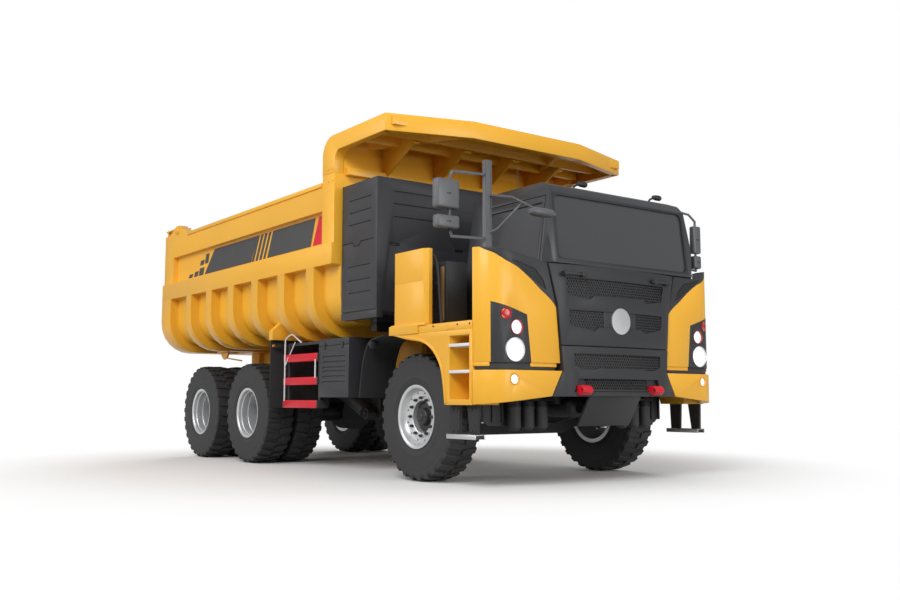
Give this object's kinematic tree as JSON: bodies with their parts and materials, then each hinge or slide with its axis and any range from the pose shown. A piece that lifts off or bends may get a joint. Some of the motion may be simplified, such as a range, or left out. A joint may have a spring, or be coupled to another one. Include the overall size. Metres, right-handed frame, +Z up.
{
  "type": "mining dump truck",
  "caption": "Wide-body mining dump truck: rear-tipping open body with a canopy over an offset cab, twin-tyred rear bogie, steered front wheels, hinged tailgate, cab doors and front lid.",
  "frame": {"origin": "on the ground, under the middle of the bounding box", "axes": "+Z up, -Y towards the front of the truck, +X towards its left-hand side"},
  "size_m": [4.351, 9.385, 4.39],
  "materials": {
    "yellow_paint": "semi-gloss warm yellow",
    "charcoal_paint": "satin dark grey",
    "black_paint": "satin black chassis paint",
    "red_paint": "semi-gloss red",
    "tyre": "matt black rubber",
    "flap_rubber": "matt sheet rubber",
    "rim_silver": "silver wheel paint",
    "bright_rod": "hard chrome",
    "tinted_glass": "dark tinted glass",
    "seat_fabric": "woven dark grey"
  },
  "bodies": {
    "chassis": {"frame": "black_paint", "drive_motor": "black_paint", "front_axle": "black_paint", "forward_axle": "black_paint", "rearward_axle": "black_paint", "rear_suspension": "black_paint", "skid_plate": "black_paint", "dashboard": "black_paint", "deck": "yellow_paint", "fender_right": "yellow_paint", "fender_left": "yellow_paint", "side_guard_right": "yellow_paint", "side_guard_left": "yellow_paint", "headlamp_pod_right": "yellow_paint", "headlamp_pod_left": "yellow_paint", "corner_bumper_right": "yellow_paint", "corner_bumper_left": "yellow_paint", "hanging_step_right": "flap_rubber", "hanging_step_left": "flap_rubber", "deck_cabinet": "charcoal_paint", "battery_box": "charcoal_paint", "side_box_right": "charcoal_paint", "side_box_left": "charcoal_paint", "centre_bumper": "charcoal_paint", "cab_shell": "charcoal_paint", "mirror_mast": "charcoal_paint", "mirror_left": "charcoal_paint", "side_ladder": "red_paint", "windscreen": "tinted_glass", "driver_seat": "seat_fabric"},
    "dump_body": {"dump_tub": "yellow_paint", "body_subframe": "yellow_paint", "canopy": "yellow_paint", "mud_flap_right": "flap_rubber", "mud_flap_left": "flap_rubber"},
    "tailgate_leaf": {"tailgate": "yellow_paint"},
    "hoist_barrel_right_body": {"hoist_barrel_right": "black_paint"},
    "hoist_barrel_left_body": {"hoist_barrel_left": "black_paint"},
    "hoist_rod_right_body": {"hoist_rod_right": "bright_rod"},
    "hoist_rod_left_body": {"hoist_rod_left": "bright_rod"},
    "knuckle_right_body": {"steering_knuckle_right": "black_paint"},
    "knuckle_left_body": {"steering_knuckle_left": "black_paint"},
    "tie_rod_body": {"tie_rod": "black_paint"},
    "front_wheel_right": {"front_tyre_right": "tyre", "front_rim_right": "rim_silver"},
    "front_wheel_left": {"front_tyre_left": "tyre", "front_rim_left": "rim_silver"},
    "forward_wheels_right": {"forward_tyres_right": "tyre", "forward_rim_right": "rim_silver"},
    "forward_wheels_left": {"forward_tyres_left": "tyre", "forward_rim_left": "rim_silver"},
    "rearward_wheels_right": {"rearward_tyres_right": "tyre", "rearward_rim_right": "rim_silver"},
    "rearward_wheels_left": {"rearward_tyres_left": "tyre", "rearward_rim_left": "rim_silver"},
    "door_right": {"cab_door_right": "charcoal_paint", "door_glass_right": "tinted_glass"},
    "door_left": {"cab_door_left": "charcoal_paint", "door_glass_left": "tinted_glass"},
    "front_lid": {"front_panel": "charcoal_paint"}
  },
  "joints": [
    {"name": "body_tip", "type": "hinge", "parent": "chassis", "child": "dump_body", "pos_m": [0.1445, 3.9025, 1.4], "axis": [-1, 0, 0], "range_deg": [0, 45]},
    {"name": "tailgate_swing", "type": "hinge", "parent": "dump_body", "child": "tailgate_leaf", "pos_m": [0.1445, 4.1325, 3.89], "axis": [1, 0, 0], "range_deg": [0, 60]},
    {"name": "hoist_right_pivot", "type": "hinge", "parent": "chassis", "child": "hoist_barrel_right_body", "pos_m": [-0.5355, -0.1475, 0.75], "axis": [1, 0, 0], "range_deg": [0, 16.1]},
    {"name": "hoist_right_slide", "type": "slide", "parent": "hoist_barrel_right_body", "child": "hoist_rod_right_body", "axis": [0, 0.917, 0.3989], "range_m": [0, 1.384]},
    {"name": "hoist_left_pivot", "type": "hinge", "parent": "chassis", "child": "hoist_barrel_left_body", "pos_m": [0.8245, -0.1475, 0.75], "axis": [1, 0, 0], "range_deg": [0, 16.1]},
    {"name": "hoist_left_slide", "type": "slide", "parent": "hoist_barrel_left_body", "child": "hoist_rod_left_body", "axis": [0, 0.917, 0.3989], "range_m": [0, 1.384]},
    {"name": "steer_left", "type": "hinge", "parent": "chassis", "child": "knuckle_left_body", "pos_m": [1.2645, -2.7475, 0.75], "axis": [0, 0, 1], "range_deg": [-35, 35]},
    {"name": "steer_right", "type": "hinge", "parent": "chassis", "child": "knuckle_right_body", "pos_m": [-0.9755, -2.7475, 0.75], "axis": [0, 0, 1], "range_deg": [-35, 35]},
    {"name": "tie_rod_pivot", "type": "hinge", "parent": "knuckle_left_body", "child": "tie_rod_body", "pos_m": [1.2645, -2.4475, 0.585], "axis": [0, 0, 1], "range_deg": [-35, 35]},
    {"name": "front_wheel_right_spin", "type": "hinge", "parent": "knuckle_right_body", "child": "front_wheel_right", "pos_m": [-1.2915, -2.7475, 0.75], "axis": [1, 0, 0], "continuous": true},
    {"name": "forward_wheels_right_spin", "type": "hinge", "parent": "chassis", "child": "forward_wheels_right", "pos_m": [-1.2135, 1.5275, 0.75], "axis": [1, 0, 0], "continuous": true},
    {"name": "rearward_wheels_right_spin", "type": "hinge", "parent": "chassis", "child": "rearward_wheels_right", "pos_m": [-1.2135, 3.3275, 0.75], "axis": [1, 0, 0], "continuous": true},
    {"name": "front_wheel_left_spin", "type": "hinge", "parent": "knuckle_left_body", "child": "front_wheel_left", "pos_m": [1.5805, -2.7475, 0.75], "axis": [1, 0, 0], "continuous": true},
    {"name": "forward_wheels_left_spin", "type": "hinge", "parent": "chassis", "child": "forward_wheels_left", "pos_m": [1.5025, 1.5275, 0.75], "axis": [1, 0, 0], "continuous": true},
    {"name": "rearward_wheels_left_spin", "type": "hinge", "parent": "chassis", "child": "rearward_wheels_left", "pos_m": [1.5025, 3.3275, 0.75], "axis": [1, 0, 0], "continuous": true},
    {"name": "door_right_swing", "type": "hinge", "parent": "chassis", "child": "door_right", "pos_m": [-0.9055, -4.2775, 2.5], "axis": [0, 0, 1], "range_deg": [0, 60]},
    {"name": "door_left_swing", "type": "hinge", "parent": "chassis", "child": "door_left", "pos_m": [1.5945, -4.2775, 2.5], "axis": [0, 0, -1], "range_deg": [0, 60]},
    {"name": "front_lid_lift", "type": "hinge", "parent": "chassis", "child": "front_lid", "pos_m": [0.1445, -4.4475, 2.443], "axis": [-1, 0, 0], "range_deg": [0, 60]}
  ],
  "couplings": [
    {"joint": "hoist_right_pivot", "follows": "body_tip", "ratio": 0.35074},
    {"joint": "hoist_right_slide", "follows": "body_tip", "m_per_rad": 1.7571},
    {"joint": "hoist_left_pivot", "follows": "body_tip", "ratio": 0.35074},
    {"joint": "hoist_left_slide", "follows": "body_tip", "m_per_rad": 1.7571},
    {"joint": "steer_right", "follows": "steer_left", "ratio": 1},
    {"joint": "tie_rod_pivot", "follows": "steer_left", "ratio": -1}
  ]
}
